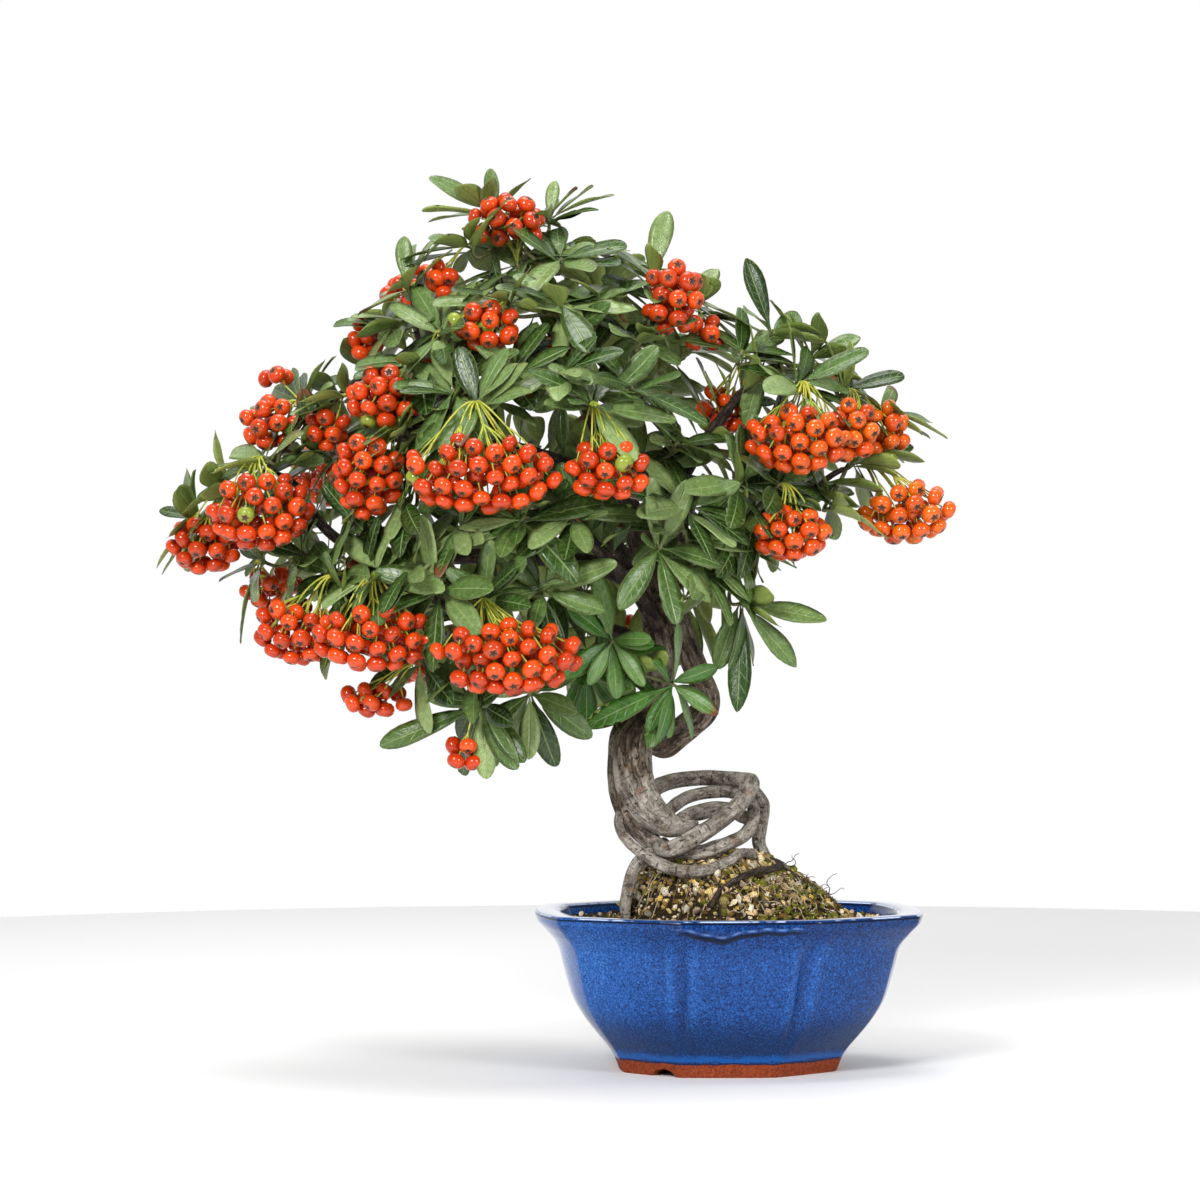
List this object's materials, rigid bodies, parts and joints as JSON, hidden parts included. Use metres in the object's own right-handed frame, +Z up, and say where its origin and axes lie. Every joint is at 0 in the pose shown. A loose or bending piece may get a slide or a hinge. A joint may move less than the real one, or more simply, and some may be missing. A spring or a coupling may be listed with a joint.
{
  "type": "pyracantha bonsai in a pot",
  "caption": "Pyracantha bonsai with coiled surface roots, leafy sprays and hanging bunches of berries, in a lobed glazed stoneware pot filled with soil.",
  "frame": {"origin": "middle of the bounding box at the surface that the pot stands on", "axes": "+Z up the tree, -Y toward the viewer of the tree's front, +X to that viewer's right"},
  "size_m": [0.306, 0.2074, 0.3497],
  "materials": {
    "glaze": "glossy mottled cobalt-blue glaze, bare orange-brown clay at the foot",
    "plastic": "plain dark plastic mesh",
    "earth": "loose ochre and tan grains with dark fibres",
    "bark": "grey-brown bark with light patches and dark pits",
    "foliage": "satin grey-green leaf with a pale midrib",
    "fruit": "glossy orange-red berry with a dark calyx"
  },
  "bodies": {
    "root": {"berries_back_centre": "fruit", "berries_back_left": "fruit", "berries_back_left_high": "fruit", "berries_back_low": "fruit", "berries_back_low_right": "fruit", "berries_back_right": "fruit", "berries_centre": "fruit", "berries_centre_right": "fruit", "berries_far_left": "fruit", "berries_far_right": "fruit", "berries_hanging": "fruit", "berries_hanging_left": "fruit", "berries_high_right": "fruit", "berries_inner_right": "fruit", "berries_left": "fruit", "berries_left_back_low": "fruit", "berries_left_front": "fruit", "berries_left_high": "fruit", "berries_left_shoulder": "fruit", "berries_low_centre": "fruit", "berries_low_front": "fruit", "berries_low_left": "fruit", "berries_right": "fruit", "berries_right_high": "fruit", "berries_right_low": "fruit", "berries_top": "fruit", "berries_upper_centre": "fruit", "berries_upper_left": "fruit", "berries_upper_left_high": "fruit", "drain_screen": "plastic", "leaves_back_centre": "foliage", "leaves_back_high": "foliage", "leaves_back_left": "foliage", "leaves_back_left_low": "foliage", "leaves_back_low": "foliage", "leaves_back_right": "foliage", "leaves_back_upper_left": "foliage", "leaves_centre": "foliage", "leaves_centre_middle": "foliage", "leaves_centre_right": "foliage", "leaves_crown": "foliage", "leaves_front_low_left": "foliage", "leaves_high_right": "foliage", "leaves_left_end": "foliage", "leaves_left_low": "foliage", "leaves_left_shoulder": "foliage", "leaves_low": "foliage", "leaves_low_centre": "foliage", "leaves_mid_right": "foliage", "leaves_right_crown": "foliage", "leaves_right_end": "foliage", "leaves_right_hanging": "foliage", "leaves_right_low": "foliage", "leaves_trunk_low": "foliage", "leaves_upper_centre": "foliage", "leaves_upper_left": "foliage", "pot": "glaze", "soil": "earth", "wood": "bark"}
  },
  "joints": []
}
